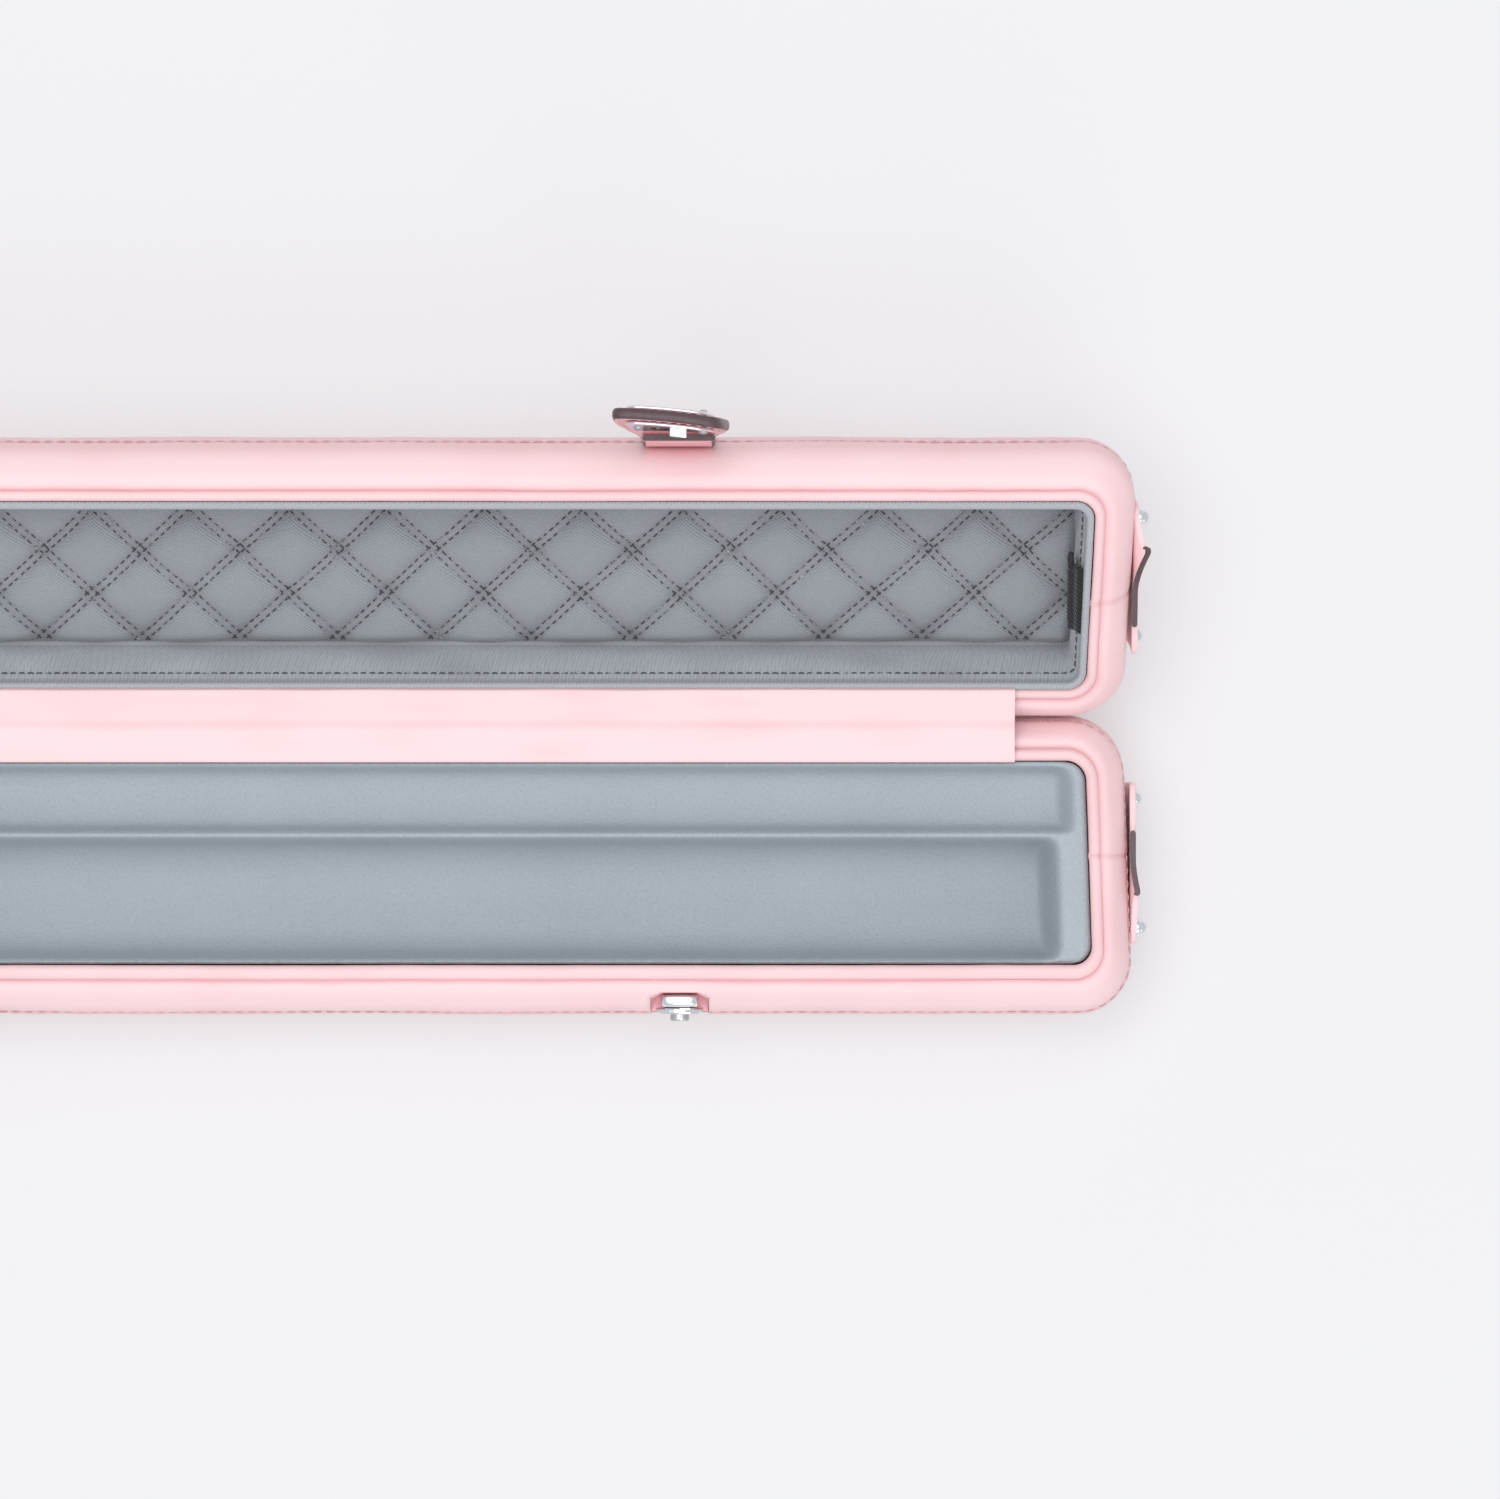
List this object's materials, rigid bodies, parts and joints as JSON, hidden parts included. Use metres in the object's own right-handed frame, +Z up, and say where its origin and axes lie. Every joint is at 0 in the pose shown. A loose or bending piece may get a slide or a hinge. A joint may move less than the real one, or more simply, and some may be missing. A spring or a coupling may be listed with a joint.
{
  "type": "cue case",
  "caption": "Long hard case for a two-piece cue, open, with a leather cover, moulded tray, quilted lid, strap latches with push locks, and a carrying handle.",
  "frame": {"origin": "Middle of the base's bottom face.", "axes": "+X along the case, +Y from the base towards the open lid, +Z up."},
  "size_m": [0.8272, 0.1765, 0.096],
  "materials": {
    "pink_leather": "satin",
    "grey_leatherette": "satin",
    "grey_twill": "matte",
    "black_webbing": "matte",
    "foam": "matte",
    "plywood": "matte",
    "chrome": "polished",
    "steel": "satin"
  },
  "bodies": {
    "base": {"base_cover": "pink_leather", "base_front_rail": "plywood", "base_left_end_block": "plywood", "base_left_end_strap": "pink_leather", "base_left_front_stud": "chrome", "base_left_rear_stud": "chrome", "base_outer_sheet": "pink_leather", "base_padding": "foam", "base_panel": "plywood", "base_rear_rail": "plywood", "base_right_end_block": "plywood", "base_right_end_strap": "pink_leather", "base_right_front_stud": "chrome", "base_right_rear_stud": "chrome", "tray_floor": "grey_leatherette", "tray_shaft_bed": "grey_leatherette", "tray_ridge": "grey_leatherette", "tray_left_end": "grey_leatherette", "tray_right_end": "grey_leatherette", "handle_left_bracket": "chrome", "handle_left_pin": "steel", "handle_right_bracket": "chrome", "handle_right_pin": "steel", "hinge_strip": "pink_leather", "lock_left_face": "chrome", "lock_left_housing": "chrome", "lock_right_face": "chrome", "lock_right_housing": "chrome"},
    "lid": {"latch_left_strap": "pink_leather", "latch_right_strap": "pink_leather", "lid_cover": "pink_leather", "lid_front_rail": "plywood", "lid_left_end_block": "plywood", "lid_left_end_strap": "pink_leather", "lid_left_front_stud": "chrome", "lid_left_rear_stud": "chrome", "lid_left_tab": "black_webbing", "lid_lining": "grey_twill", "lid_outer_sheet": "pink_leather", "lid_padding": "foam", "lid_panel": "plywood", "lid_rear_rail": "plywood", "lid_right_end_block": "plywood", "lid_right_end_strap": "pink_leather", "lid_right_front_stud": "chrome", "lid_right_rear_stud": "chrome", "lid_right_tab": "black_webbing", "quilted_pad": "grey_twill"},
    "latch_left": {"latch_left_catch_plate": "chrome", "latch_left_flap": "pink_leather", "latch_left_outer_plate": "chrome"},
    "latch_right": {"latch_right_catch_plate": "chrome", "latch_right_flap": "pink_leather", "latch_right_outer_plate": "chrome"},
    "lock_button_left": {"lock_left_button": "steel"},
    "lock_button_right": {"lock_right_button": "steel"},
    "handle": {"handle_grip": "pink_leather", "handle_left_arm": "chrome", "handle_right_arm": "chrome"}
  },
  "joints": [
    {"name": "lid_hinge", "type": "hinge", "parent": "base", "child": "lid", "pos_m": [0, 0.0395, 0.037], "axis": [1, 0, 0], "range_deg": [0, 155], "deforming": ["hinge_strip"]},
    {"name": "latch_left_hinge", "type": "hinge", "parent": "lid", "child": "latch_left", "pos_m": [-0.285, 0.11647, 0.06738], "axis": [1, 0, 0], "range_deg": [-54, 36]},
    {"name": "latch_right_hinge", "type": "hinge", "parent": "lid", "child": "latch_right", "pos_m": [0.285, 0.11647, 0.06738], "axis": [1, 0, 0], "range_deg": [-54, 36]},
    {"name": "lock_button_left_press", "type": "slide", "parent": "base", "child": "lock_button_left", "axis": [0, 1, 0], "range_m": [0, 0.0015], "stiffness_N_per_m": 400, "springref_m": -0.002},
    {"name": "lock_button_right_press", "type": "slide", "parent": "base", "child": "lock_button_right", "axis": [0, 1, 0], "range_m": [0, 0.0015], "stiffness_N_per_m": 400, "springref_m": -0.002},
    {"name": "handle_swing", "type": "hinge", "parent": "base", "child": "handle", "pos_m": [0, -0.0475, 0.025], "axis": [-1, 0, 0], "range_deg": [-5, 120]}
  ]
}
